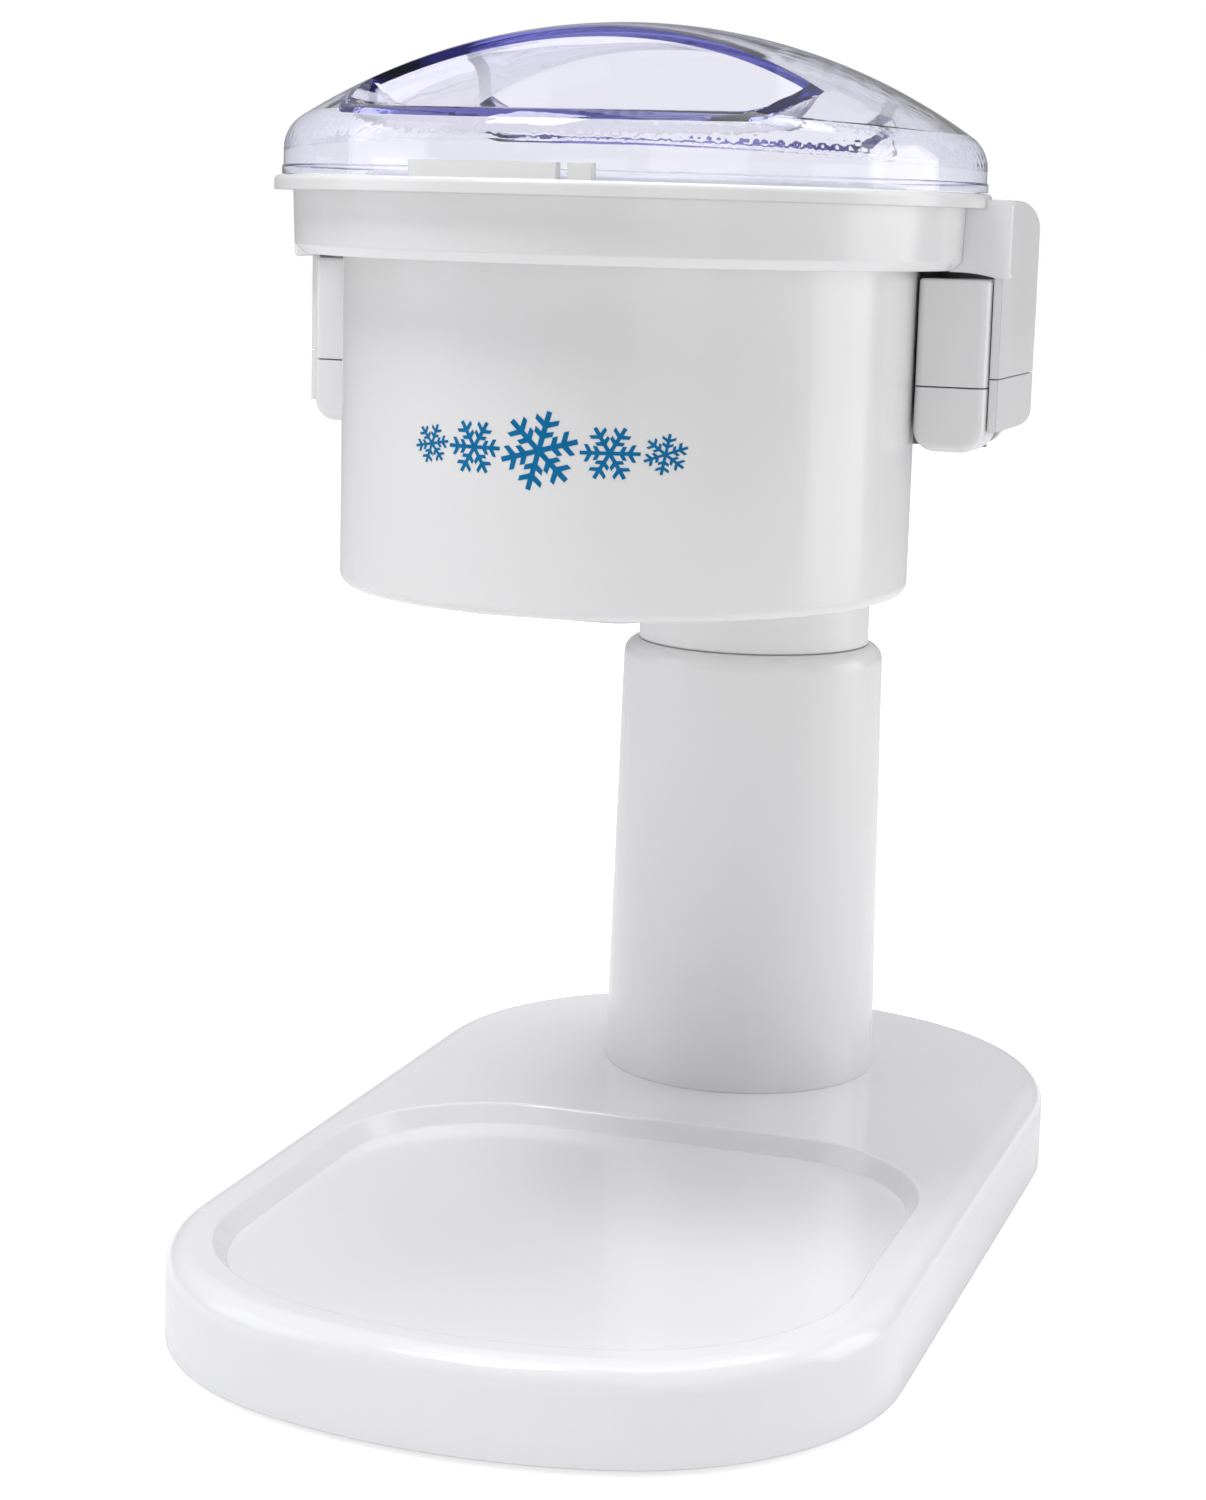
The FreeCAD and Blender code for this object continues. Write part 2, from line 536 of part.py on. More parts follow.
def make_blade_plate():
    plate = rod(HOPPER_R + HOPPER_WALL, 0, HEAD_Y, PLATE_Z0, PLATE_Z1)
    plate = plate.cut(rod(SPINDLE_R + 0.5, 0, HEAD_Y, PLATE_Z0, PLATE_Z1))
    plate = plate.cut(box(SLOT_X0, BLADE_X0 + 1, HEAD_Y - BLADE_R1, HEAD_Y - BLADE_R0, PLATE_Z0, PLATE_Z1))
    for x, y in blade_screw_spots():
        plate = plate.cut(rod(BLADE_SCREW_R, x, y, PLATE_Z0, PLATE_Z1))
    for angle in COLUMN_SCREWS:
        x, y = polar(0, HEAD_Y, CARRIER_SCREW_RING, angle)
        plate = plate.cut(rod(SCREW_R, x, y, PLATE_Z0, PLATE_Z1))
    return plate


def make_blade():
    """Flat blade lying on the plate, its long front edge ground to a bevel over the slot."""
    z0, z1 = PLATE_Z1, PLATE_Z1 + BLADE_T
    profile = Part.makePolygon([
        V(BLADE_X0, 0, z1), V(BLADE_X1, 0, z1), V(BLADE_X1, 0, z0), V(BLADE_X0 + BLADE_BEVEL, 0, z0),
        V(BLADE_X0, 0, z1)])
    blade = Part.Face(profile).extrude(V(0, BLADE_R1 - BLADE_R0, 0))
    blade.translate(V(0, HEAD_Y - BLADE_R1, 0))
    for x, y in blade_screw_spots():
        blade = blade.cut(rod(BLADE_SCREW_HEAD_R, x, y, z0, z1))
    return blade


def make_blade_screws():
    return group([rod(BLADE_SCREW_HEAD_R, x, y, PLATE_Z1, PLATE_Z1 + BLADE_T - 0.1).fuse(
        rod(BLADE_SCREW_R, x, y, PLATE_Z0, PLATE_Z1)) for x, y in blade_screw_spots()])


# A vane's curve, as fractions of its reach: radius, centre, and the line it is cut off at
PADDLE_BEND, PADDLE_BEND_X, PADDLE_BEND_Y, PADDLE_CUT = 0.9, 0.45, 0.78, 0.3


def make_paddle():
    """Three swept vanes on a hub."""
    paddle = rod(PADDLE_HUB_R, 0, HEAD_Y, PADDLE_Z0, HUB_Z1)
    swing, bend = PADDLE_TIP_R, PADDLE_BEND * PADDLE_TIP_R
    x, y = PADDLE_BEND_X * swing, PADDLE_BEND_Y * swing
    for vane in range(3):
        ring = tube(bend + PADDLE_T / 2, bend - PADDLE_T / 2, x, y, PADDLE_Z0, PADDLE_Z1)
        blade = ring.common(box(0, 2 * swing, -swing, swing, PADDLE_Z0, PADDLE_Z1))
        blade = blade.common(rod(PADDLE_TIP_R, 0, 0, PADDLE_Z0, PADDLE_Z1))
        blade = blade.common(box(0, swing, -swing, PADDLE_CUT * swing, PADDLE_Z0, PADDLE_Z1))
        blade.rotate(V(0, 0, 0), V(0, 0, 1), 120 * vane)
        blade.translate(V(0, HEAD_Y, 0))
        paddle = paddle.fuse(blade)
    paddle = paddle.cut(rod(PADDLE_HUB_R, 0, HEAD_Y, HUB_Z1, PADDLE_Z1 + 1))
    paddle = paddle.cut(rod(STUD_R, 0, HEAD_Y, PADDLE_Z0 - 1, PADDLE_Z1 + 1))
    return paddle.removeSplitter()


def make_paddle_nut():
    corners = [V(*polar(0, HEAD_Y, NUT_R, math.radians(60 * k)), HUB_Z1) for k in range(7)]
    nut = Part.Face(Part.makePolygon(corners)).extrude(V(0, 0, NUT_H))
    return nut.cut(rod(STUD_R, 0, HEAD_Y, HUB_Z1, SPINDLE_Z1))


def make_hopper():
    """Straight-sided cup that the ice sits in, hung from the deck by its rim."""
    outer = HOPPER_R + HOPPER_WALL
    cup = tube(outer, HOPPER_R, 0, HEAD_Y, PLATE_Z1, FLANGE_Z1)
    rim = tube(outer + HOPPER_RIM_W, HOPPER_R, 0, HEAD_Y, FLANGE_Z1, FLANGE_Z1 + HOPPER_RIM_T)
    rim = rim.makeFillet(HOPPER_RIM_EDGE_R, level_edges(rim, FLANGE_Z1 + HOPPER_RIM_T))
    return cup.fuse(rim).removeSplitter()


def chute_block(grow, z0, z1):
    x, y0, y1 = CHUTE_X + grow, CHUTE_Y0 - grow, CHUTE_Y1 + grow
    return rounded_rectangle(-x, x, y0, y1, z0, z1, CHUTE_CORNER_R + grow)


def make_chute():
    chute = chute_block(CHUTE_WALL, CHUTE_Z0, PLATE_Z0)
    lip = chute_block(CHUTE_WALL + 3, DRUM_Z0 + WALL, DRUM_Z0 + WALL + 2)
    lip = lip.cut(box(-60, 60, CHUTE_Y1 + CHUTE_WALL, 0, DRUM_Z0, DRUM_Z1))
    return chute.fuse(lip).cut(chute_block(0, CHUTE_Z0, PLATE_Z0)).removeSplitter()


# ---- head ---------------------------------------------------------------------------------------
DRUM_EDGE_R = 2.5
SWITCH_Z = 217.0
SWITCH_Y = 124.4                  # outer face of the flat pad that carries the rocker switch
SWITCH_HALF_X, SWITCH_HALF_Z = 10.8, 14.5
PAD_HALF_X, PAD_HALF_Z, PAD_CORNER_R = 15.0, 19.0, 3.0
PAD_Y0 = COLUMN_Y + 20
SHAFT_HOLE_R = 16.0


def drum_solid():
    drum = prism(pear(DRUM_A, DRUM_B, DRUM_REAR_R), DRUM_Z0, DRUM_Z1)
    return drum.makeFillet(DRUM_EDGE_R, level_edges(drum, DRUM_Z0))


def make_drum():
    drum = drum_solid()
    pad = box(-PAD_HALF_X, PAD_HALF_X, PAD_Y0, SWITCH_Y, SWITCH_Z - PAD_HALF_Z, SWITCH_Z + PAD_HALF_Z)
    corners = [e for e in pad.Edges if e.BoundBox.XLength < 1e-4 and e.BoundBox.ZLength < 1e-4]
    pad = pad.makeFillet(PAD_CORNER_R, corners)
    drum = drum.fuse(pad)
    drum = drum.cut(prism(pear(DRUM_A - WALL, DRUM_B - WALL, DRUM_REAR_R - WALL), DRUM_Z0 + WALL, DRUM_Z1))
    drum = drum.cut(chute_block(CHUTE_WALL + SEAM, DRUM_Z0, DRUM_Z0 + WALL))
    drum = drum.cut(rod(SHAFT_HOLE_R, 0, COLUMN_Y, DRUM_Z0, DRUM_Z0 + WALL))
    for angle in COLUMN_SCREWS:
        x, y = polar(0, COLUMN_Y, NECK_SCREW_RING, angle)
        drum = drum.cut(rod(SCREW_R, x, y, DRUM_Z0, DRUM_Z0 + WALL))
    boss = rod(BEARING_R + 2.5, 0, HEAD_Y, DRUM_Z0 + WALL, SPINDLE_Z0 + BEARING_H)
    drum = drum.fuse(boss).cut(rod(BEARING_R, 0, HEAD_Y, SPINDLE_Z0, SPINDLE_Z0 + BEARING_H))
    drum = drum.cut(box(-SWITCH_HALF_X, SWITCH_HALF_X, PAD_Y0, SWITCH_Y + 1,
                        SWITCH_Z - SWITCH_HALF_Z, SWITCH_Z + SWITCH_HALF_Z))
    return drum.removeSplitter()


def collar_solid():
    """The collar without its inside: chamfered foot, slightly flared wall and flange."""
    low = pear(COLLAR_A - COLLAR_CHAMFER, COLLAR_B - COLLAR_CHAMFER, COLLAR_REAR_R - COLLAR_CHAMFER)
    foot = [(low, DRUM_Z1), (pear(COLLAR_A, COLLAR_B, COLLAR_REAR_R), DRUM_Z1 + COLLAR_CHAMFER)]
    top = pear(COLLAR_A + COLLAR_FLARE, COLLAR_B + COLLAR_FLARE, COLLAR_REAR_R + COLLAR_FLARE)
    wall = [(pear(COLLAR_A, COLLAR_B, COLLAR_REAR_R), DRUM_Z1 + COLLAR_CHAMFER), (top, FLANGE_Z0)]
    flange = prism(pear(FLANGE_A, FLANGE_B, FLANGE_REAR_R), FLANGE_Z0, FLANGE_Z1)
    flange = flange.makeFillet(1.2, level_edges(flange, FLANGE_Z1))
    return loft(foot).fuse(loft(wall)).fuse(flange)


CATCHES = [(-24.0, 11.0), (13.3, 18.5)]       # ends of the two tabs in front of the lid
CATCH_GAP, CATCH_OUT, CATCH_TOP = 0.4, 3.0, FLANGE_Z1 + 3.6


def lid_catch(x0, x1):
    """Upright tab on the flange, just in front of the lid's rim."""
    ring = prism(oval(LID_A + CATCH_OUT, LID_B + CATCH_OUT), FLANGE_Z1, CATCH_TOP).cut(
        prism(oval(LID_A + CATCH_GAP, LID_B + CATCH_GAP), FLANGE_Z1, CATCH_TOP))
    return ring.common(box(x0, x1, HEAD_Y - 2 * LID_B, HEAD_Y, FLANGE_Z1, CATCH_TOP))


PLUNGER_Y, PLUNGER_R = 50.9, 1.8
PLUNGER_TRAVEL, PLUNGER_GAP = 1.5, 0.3


KEEPER_X1, KEEPER_Y0, KEEPER_Y1, KEEPER_Z0 = 91.5, -33.0, -27.0, 256.3
KEEPER_EDGE_R = 1.6


def make_collar():
    collar = collar_solid()
    collar = collar.cut(prism(pear(COLLAR_A - WALL, COLLAR_B - WALL, COLLAR_REAR_R - WALL),
                              DRUM_Z1 + LEDGE_T, FLANGE_Z0))
    collar = collar.cut(prism(pear(DRUM_A - WALL, DRUM_B - WALL, DRUM_REAR_R - WALL),
                              DRUM_Z1, DRUM_Z1 + LEDGE_T))
    collar = collar.cut(rod(HOPPER_R + HOPPER_WALL, 0, HEAD_Y, FLANGE_Z0, FLANGE_Z1))
    collar = collar.cut(rod(PLUNGER_R + PLUNGER_GAP, 0, PLUNGER_Y, FLANGE_Z0, FLANGE_Z1))
    for x0, x1 in CATCHES:
        collar = collar.fuse(lid_catch(x0, x1))
    return collar.removeSplitter()


def make_keeper():
    """Block beside the collar, above the right latch's nose, hollowed underneath for the nose's swing."""
    block = box(COLLAR_A - 3, KEEPER_X1, KEEPER_Y0, KEEPER_Y1, KEEPER_Z0, LATCH_PLATE_TOP)
    block = block.makeFillet(KEEPER_EDGE_R, [e for e in block.Edges if e.BoundBox.XMin > KEEPER_X1 - 0.5])
    swing = rod_y(LATCH_CLEAR_R, LATCH_X, LATCH_Z, KEEPER_Y0 - 1, KEEPER_Y1 + 1)
    return block.cut(swing).cut(collar_solid())


# ---- side latches -------------------------------------------------------------------------------
BRACKET_Y0, BRACKET_Y1, BRACKET_R = -14.6, 4.6, 5.0
WEB_Y0, WEB_Y1, WEB_X1, WEB_TOP = -13.5, -11.5, 84.0, 257.6
LUG_Y0, LUG_Y1, LUG_R = 5.0, 9.0, 5.5
RIB_DEPTH, RIB_Y0, RIB_Y1, RIB_TOP = 4.0, 2.0, 4.0, 250.0
KEY_HALF_X, KEY_TOP = 5.0, 240.0


def nose_solid(z0, z1):
    """Front of the latch: a block with rounded corners in front and underneath."""
    x0, x1, y0 = LATCH_NOSE_X0, LATCH_NOSE_X1, LATCH_NOSE_Y0
    nose = box(x0, x1, y0, LATCH_NOSE_Y1, LATCH_BOTTOM, LATCH_NOSE_TOP)
    low = [e for e in level_edges(nose, LATCH_BOTTOM) if e.BoundBox.YLength > 1]
    nose = nose.makeFillet(LATCH_NOSE_LOW_R, low)
    front = [e for e in nose.Edges if e.BoundBox.YMax < y0 + 0.1 and e.BoundBox.ZMin < LATCH_NOSE_TOP - 1]
    nose = nose.makeFillet(LATCH_NOSE_FRONT_R, front)
    nose = nose.makeFillet(LATCH_NOSE_TOP_R, level_edges(nose, LATCH_NOSE_TOP))
    return nose.common(box(0, 2 * LATCH_X, y0, LATCH_NOSE_Y1, z0, z1))


def corner_arc(x, y, z, depth, height):
    """Quarter of an upright ellipse about (y, z), from its rear end to its top or bottom."""
    long_end, short_end = V(x, y + depth, z), V(x, y, z + height)
    return Part.ArcOfEllipse(Part.Ellipse(long_end, short_end, V(x, y, z)), 0, math.pi / 2).toShape()


def side_plate(z0, z1):
    """Outer plate of the latch, with its rear corners rounded in long arcs."""
    x, y0, y1 = LATCH_PLATE_X0, LATCH_PLATE_Y0, LATCH_PLATE_Y1
    (top_y, top_z), (low_y, low_z) = LATCH_PLATE_TOP_ROUND, LATCH_PLATE_LOW_ROUND
    top, low = LATCH_PLATE_TOP, LATCH_PLATE_BOTTOM
    outline = Part.Wire([
        line(V(x, y0, low), V(x, y1 - low_y, low)),
        corner_arc(x, y1 - low_y, low + low_z, low_y, -low_z),
        line(V(x, y1, low + low_z), V(x, y1, top - top_z)),
        corner_arc(x, y1 - top_y, top - top_z, top_y, top_z),
        line(V(x, y1 - top_y, top), V(x, y0, top)),
        line(V(x, y0, top), V(x, y0, low))])
    plate = Part.Face(outline).extrude(V(LATCH_PLATE_X1 - x, 0, 0))
    return plate.common(box(0, 2 * LATCH_X, y0, y1, z0, z1))


def latch_bridge(z0, z1):
    """Solid piece between the nose and the plate."""
    return box(LATCH_NOSE_X1 - 2.5, LATCH_PLATE_X0 + 1, LATCH_PLATE_Y0 + 3, LATCH_NOSE_Y1 - 1, z0, z1)


def latch_key():
    """Peg that joins the latch's two mouldings."""
    return box(LATCH_X - KEY_HALF_X, LATCH_X + KEY_HALF_X, LATCH_NOSE_Y0 + 5, LATCH_NOSE_Y1 - 2,
               LATCH_NOSE_SEAM - SEAM / 2, KEY_TOP)


def make_latch_arm():
    nose_z0, plate_z0 = LATCH_NOSE_SEAM + SEAM / 2, LATCH_PLATE_SEAM + SEAM / 2
    arm = nose_solid(nose_z0, LATCH_NOSE_TOP).fuse(side_plate(plate_z0, LATCH_PLATE_TOP))
    rib = box(LATCH_PLATE_X0 - RIB_DEPTH, LATCH_PLATE_X0 + 1, RIB_Y0, RIB_Y1, plate_z0, RIB_TOP)
    arm = arm.fuse(latch_bridge(plate_z0 + 0.5, LATCH_NOSE_TOP - 3)).fuse(rib)
    return arm.cut(latch_key()).removeSplitter()


def make_latch_cap():
    nose_z1, plate_z1 = LATCH_NOSE_SEAM - SEAM / 2, LATCH_PLATE_SEAM - SEAM / 2
    cap = nose_solid(LATCH_BOTTOM, nose_z1).fuse(side_plate(LATCH_PLATE_BOTTOM, plate_z1)).fuse(latch_key())
    lug = rod_y(LUG_R, LATCH_X, LATCH_Z, LUG_Y0, LUG_Y1).fuse(
        box(LATCH_X, LATCH_PLATE_X0 + 1, LUG_Y0, LUG_Y1, LATCH_Z, LATCH_Z + LUG_R))
    cap = cap.fuse(latch_bridge(LATCH_PLATE_BOTTOM + 0.5, nose_z1)).fuse(lug)
    return cap.cut(rod_y(PIN_R + RUNNING, LATCH_X, LATCH_Z, LATCH_PIN_Y0 - 0.3, LUG_Y1 + 1)).removeSplitter()


def make_latch_bracket():
    """Bearing for the latch's pin, with an upright web that closes the gap behind the nose."""
    arm = rod_y(BRACKET_R, LATCH_X, LATCH_Z, BRACKET_Y0, BRACKET_Y1).fuse(
        box(DRUM_A - 12, LATCH_X, BRACKET_Y0, BRACKET_Y1, LATCH_Z - BRACKET_R, LATCH_Z + BRACKET_R))
    web = box(DRUM_A - 12, WEB_X1, WEB_Y0, WEB_Y1, LATCH_Z - BRACKET_R, WEB_TOP)
    bore = rod_y(PIN_R, LATCH_X, LATCH_Z, BRACKET_Y0 - 1, BRACKET_Y1 + 1)
    return arm.fuse(web).cut(drum_solid()).cut(bore).removeSplitter()


def make_latch_pin():
    return rod_y(PIN_R, LATCH_X, LATCH_Z, LATCH_PIN_Y0, LATCH_PIN_Y1)


# ---- lid ----------------------------------------------------------------------------------------
DOME_STEPS = 24                   # grid of the dome's surface
FIELD_MARGIN = 4.0                # how far the lid's surfaces are drawn past what they cut
CROWN_WALL_RATIO = 1.15           # wall measured straight down, where the dome slopes
LID_RIM_H, LID_RIM_EDGE_R = 2.2, 0.6
LID_RIM_OUT_X, LID_RIM_OUT_Y = 0.4, 0.2


def dome_drop(x, y):
    """How far the dome's surface lies below its top at a distance (x, y) from the head's axis."""
    low, high = 1e-9, DOME_R
    for _ in range(60):
        drop = (low + high) / 2
        half_x = math.sqrt(drop * (2 * DOME_R - drop))
        fade = math.exp(-(drop / DOME_RATIO_FADE) ** 2)
        half_y = half_x * (DOME_RATIO_EDGE + (DOME_RATIO_TOP - DOME_RATIO_EDGE) * fade)
        low, high = (drop, high) if (x / half_x) ** 2 + (y / half_y) ** 2 > 1 else (low, drop)
    return drop


def spread(low, high, steps):
    return [low + (high - low) * k / steps for k in range(steps + 1)]


def height_field(height, xs, ys):
    """Smooth surface through the heights over a grid about the head's axis."""
    surface = Part.BSplineSurface()
    surface.interpolate([[V(x, HEAD_Y + y, height(x, y)) for y in ys] for x in xs])
    return surface.toShape()


def dome_height(x, y, wall):
    return LID_TOP - CROWN_WALL_RATIO * wall - dome_drop(x, y)


def dome(wall):
    """Solid dome, drawn in by the wall thickness for the inside."""
    width, depth = LID_A + FIELD_MARGIN, LID_B + FIELD_MARGIN
    top = height_field(lambda x, y: dome_height(x, y, wall),
                       spread(-width, width, DOME_STEPS), spread(-depth, depth, DOME_STEPS))
    under = top.extrude(V(0, 0, -2 * DOME_R))
    z0 = LID_Z0 if wall == 0 else LID_Z0 - 1
    body = prism(oval(LID_A - wall, LID_B - wall), z0, LID_TOP + 1).common(under)
    crest = [e for e in body.Edges if e.BoundBox.ZMin > LID_Z0 + 2]
    return body.makeFillet(DOME_EDGE_R - wall / 2, crest)


def rounded_off(gap):
    """Bends a floor that rises through the dome: level at first, then it follows the dome."""
    bend = SCOOP_BLEND + 1.0
    at_dome = SCOOP_LIFT + (1 - SCOOP_LIFT) / bend
    sink = SCOOP_BLEND * (1 - at_dome) / 2
    gap -= sink
    if gap < -SCOOP_BLEND:
        return gap + sink
    if gap > 1:
        return SCOOP_LIFT * gap + (at_dome - SCOOP_LIFT) / 2
    return at_dome * gap - (1 - SCOOP_LIFT) * gap * gap / (2 * bend)


def scoop_height(x, y, wall):
    """Floor of the front finger scoop: it slopes forward, and turns up at both ends."""
    floor = SCOOP_Z - math.tan(math.radians(SCOOP_SLOPE)) * (-y - SCOOP_Y)
    floor += max(0.0, abs(x) - (SCOOP_W + wall - SCOOP_CORNER_R)) ** 2 / SCOOP_CORNER_R
    dome_z = LID_TOP - dome_drop(x, y)
    return dome_z + rounded_off(floor - dome_z) - CROWN_WALL_RATIO * wall


def scoop(wall):
    """Space above the front finger scoop's floor, or the same moved in by the wall thickness."""
    width, front, rear = SCOOP_W + 3 * FIELD_MARGIN, -LID_B - FIELD_MARGIN, -SCOOP_Y + FIELD_MARGIN
    floor = height_field(lambda x, y: scoop_height(x, y, wall),
                         spread(-width, width, 2 * DOME_STEPS), spread(front, rear, DOME_STEPS))
    above = floor.extrude(V(0, 0, LID_TOP - LID_Z0))
    return above.common(rod(SCOOP_BOW_R + wall, 0, HEAD_Y - SCOOP_Y - SCOOP_BOW_R, LID_Z0, 2 * LID_TOP))


def make_lid():
    front, front_inner = scoop(0), scoop(LID_WALL)
    centre, y_axis = V(0, HEAD_Y, 0), V(0, 1, 0)
    outer = dome(0).cut(front).cut(front.mirror(centre, y_axis))
    inner = dome(LID_WALL).cut(front_inner).cut(front_inner.mirror(centre, y_axis))
    rim_top = LID_Z0 + LID_RIM_H
    rim = prism(oval(LID_A + LID_RIM_OUT_X, LID_B + LID_RIM_OUT_Y), LID_Z0, rim_top)
    rim = rim.makeFillet(LID_RIM_EDGE_R, level_edges(rim, rim_top))
    return outer.fuse(rim).cut(inner)


# ---- switches -----------------------------------------------------------------------------------
INTERLOCK_HALF_X, INTERLOCK_HALF_Y = 10.0, 5.0
INTERLOCK_Z0, INTERLOCK_Z1, INTERLOCK_BORE_Z = 256.0, 270.0, 258.0
INTERLOCK_NECK_R = 4.0
BLADE_TERMINAL_X, BLADE_TERMINAL_HALF_W, BLADE_TERMINAL_HALF_T, BLADE_TERMINAL_L = 6.0, 1.5, 0.3, 6.0

BEZEL_HALF_X, BEZEL_HALF_Z, BEZEL_T, BEZEL_CORNER_R = 13.0, 17.0, 2.0, 2.0
CASE_DEPTH, WELL_DEPTH, WELL_HALF_X, WELL_HALF_Z = 22.0, 12.0, 9.0, 12.5
PIN_X, PIN_HALF_T, PIN_HALF_W, PIN_L = 5.0, 0.4, 3.0, 8.0
AXLE_R, AXLE_Y = 1.5, SWITCH_Y - 2.0
ROCKER_TILT, ROCKER_HALF_X, ROCKER_HALF_Z, ROCKER_DIP = 8.0, 8.6, 11.4, 1.9
ROCKER_Y0, ROCKER_Y1, ROCKER_TAPER = SWITCH_Y - 5.5, SWITCH_Y + 3.4, 3.0


def make_interlock_body():
    x, y0, y1 = INTERLOCK_HALF_X, PLUNGER_Y - INTERLOCK_HALF_Y, PLUNGER_Y + INTERLOCK_HALF_Y
    body = box(-x, x, y0, y1, INTERLOCK_Z0, INTERLOCK_Z1)
    body = body.cut(rod(PLUNGER_R + RUNNING, 0, PLUNGER_Y, INTERLOCK_BORE_Z, INTERLOCK_Z1))
    for x in (-BLADE_TERMINAL_X, BLADE_TERMINAL_X):
        body = body.fuse(box(x - BLADE_TERMINAL_HALF_W, x + BLADE_TERMINAL_HALF_W,
                             PLUNGER_Y - BLADE_TERMINAL_HALF_T, PLUNGER_Y + BLADE_TERMINAL_HALF_T,
                             INTERLOCK_Z0 - BLADE_TERMINAL_L, INTERLOCK_Z0))
    neck = tube(INTERLOCK_NECK_R, PLUNGER_R + RUNNING, 0, PLUNGER_Y, INTERLOCK_Z1, FLANGE_Z0)
    return body.fuse(neck).removeSplitter()


def make_interlock_plunger():
    return rod(PLUNGER_R, 0, PLUNGER_Y, INTERLOCK_BORE_Z + PLUNGER_TRAVEL + PLUNGER_GAP, FLANGE_Z1)


def across_rod(radius, half_length):
    """Round rod across the rocker switch, on the axis that the rocker tips on."""
    return Part.makeCylinder(radius, 2 * half_length, V(-half_length, AXLE_Y, SWITCH_Z), V(1, 0, 0))


def make_switch_body():
    """Open-fronted case with a bezel on the drum's rear pad."""
    back = SWITCH_Y - CASE_DEPTH
    case = box(-SWITCH_HALF_X, SWITCH_HALF_X, back, SWITCH_Y, SWITCH_Z - SWITCH_HALF_Z,
               SWITCH_Z + SWITCH_HALF_Z)
    bezel = box(-BEZEL_HALF_X, BEZEL_HALF_X, SWITCH_Y, SWITCH_Y + BEZEL_T,
                SWITCH_Z - BEZEL_HALF_Z, SWITCH_Z + BEZEL_HALF_Z)
    bezel = bezel.makeFillet(BEZEL_CORNER_R, [e for e in bezel.Edges if e.BoundBox.YLength > 1])
    body = case.fuse(bezel)
    body = body.cut(box(-WELL_HALF_X, WELL_HALF_X, SWITCH_Y - WELL_DEPTH, SWITCH_Y + BEZEL_T,
                        SWITCH_Z - WELL_HALF_Z, SWITCH_Z + WELL_HALF_Z))
    for x in (-PIN_X, PIN_X):
        body = body.fuse(box(x - PIN_HALF_T, x + PIN_HALF_T, back - PIN_L, back,
                             SWITCH_Z - PIN_HALF_W, SWITCH_Z + PIN_HALF_W))
    return body.fuse(across_rod(AXLE_R, SWITCH_HALF_X)).removeSplitter()


def make_rocker():
    """Rocker with a shallow V face, stored tipped to its off side."""
    y0, y1, half, back = ROCKER_Y0, ROCKER_Y1, ROCKER_HALF_Z, ROCKER_HALF_Z - ROCKER_TAPER
    outline = Part.Wire([
        line(V(0, y0, -back), V(0, y1, -half)),
        Part.Arc(V(0, y1, -half), V(0, y1 - ROCKER_DIP, 0), V(0, y1, half)).toShape(),
        line(V(0, y1, half), V(0, y0, back)),
        line(V(0, y0, back), V(0, y0, -back))])
    rocker = Part.Face(outline).extrude(V(2 * ROCKER_HALF_X, 0, 0))
    rocker.translate(V(-ROCKER_HALF_X, 0, SWITCH_Z))
    rocker = rocker.cut(across_rod(AXLE_R + RUNNING, SWITCH_HALF_X))
    rocker.rotate(V(0, AXLE_Y, SWITCH_Z), V(1, 0, 0), ROCKER_TILT)
    return rocker


# ---- fasteners ----------------------------------------------------------------------------------
def ring_screws(y, radius, z_head, length, up):
    maker = screw_up if up else screw_down
    return group([maker(*polar(0, y, radius, a), z_head, length) for a in COLUMN_SCREWS])


